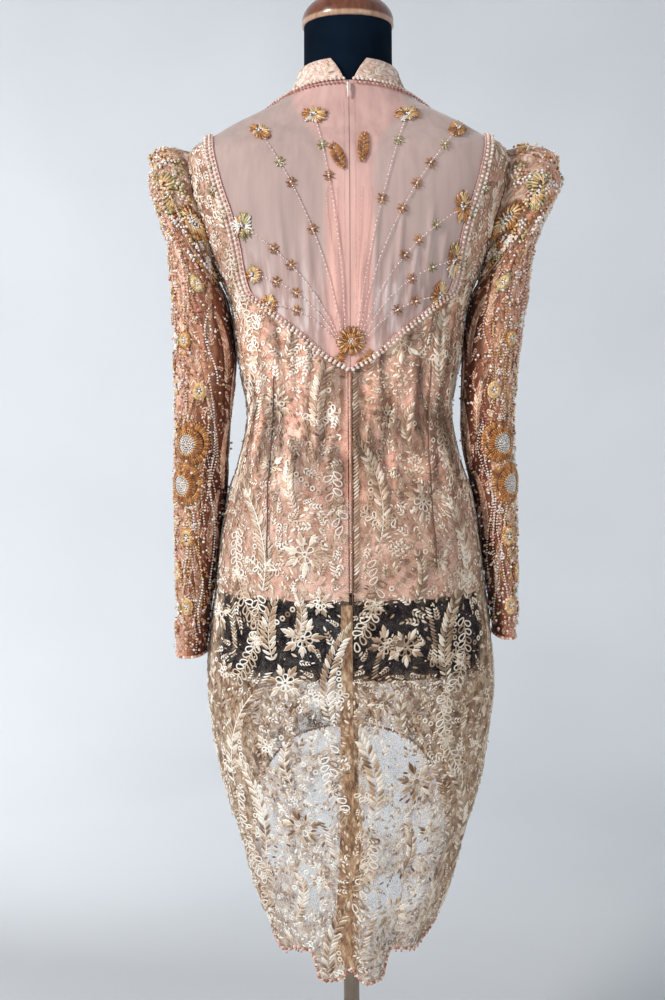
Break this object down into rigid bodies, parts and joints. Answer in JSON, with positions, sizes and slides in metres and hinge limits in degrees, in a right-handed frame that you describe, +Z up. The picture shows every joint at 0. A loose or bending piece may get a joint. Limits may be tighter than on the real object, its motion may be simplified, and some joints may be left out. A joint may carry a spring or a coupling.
{
  "type": "kebaya blouse on dress form",
  "caption": "Long fitted kebaya blouse with long sleeves, lace skirt, tulle yoke and back zip, on a limbless dress form with a pole and round base.",
  "frame": {"origin": "centre of the stand base's flat underside, on the floor", "axes": "+Z up along the pole; the wearer faces +Y, so the zipped back faces -Y and the wearer's right is at +X"},
  "size_m": [0.4934, 0.35, 1.5283],
  "materials": {
    "black_jersey": "stretch jersey cover",
    "lacquered_wood": "brown lacquer",
    "chrome": "polished tube",
    "base_paint": "satin black paint",
    "gold_lace": "corded floral lace",
    "peach_satin": "satin",
    "pink_tulle": "matte tulle over a backing",
    "pearl_beads": "pearl and pink seed beads",
    "amber_beads": "amber and pearl beads",
    "zip_metal": "pink-peach enamel"
  },
  "bodies": {
    "garment_on_form": {"collar": "gold_lace", "collar_edging": "pearl_beads", "cuff_edging_left": "pearl_beads", "cuff_edging_right": "pearl_beads", "dress_form_base": "base_paint", "dress_form_neck_cap": "lacquered_wood", "dress_form_pole": "chrome", "dress_form_torso": "black_jersey", "facing_back_left": "peach_satin", "facing_back_right": "peach_satin", "hem_edging": "pearl_beads", "lace_back_left": "gold_lace", "lace_back_right": "gold_lace", "lace_front_left": "gold_lace", "lace_front_right": "gold_lace", "lining_back_left": "peach_satin", "lining_back_right": "peach_satin", "lining_front_left": "peach_satin", "lining_front_right": "peach_satin", "medallion_lower_left": "amber_beads", "medallion_lower_right": "amber_beads", "medallion_upper_left": "amber_beads", "medallion_upper_right": "amber_beads", "sleeve_left": "gold_lace", "sleeve_right": "gold_lace", "yoke_back_left": "pink_tulle", "yoke_back_right": "pink_tulle", "yoke_edging_back": "pearl_beads", "yoke_front": "pink_tulle", "zip_chain": "peach_satin", "zip_slider": "zip_metal"},
    "zip_pull": {"zip_pull_tab": "zip_metal"}
  },
  "joints": [
    {"name": "zip_pull_hinge", "type": "hinge", "parent": "garment_on_form", "child": "zip_pull", "pos_m": [0, -0.06423, 1.40804], "axis": [-1, 0, 0], "range_deg": [0, 150]}
  ]
}
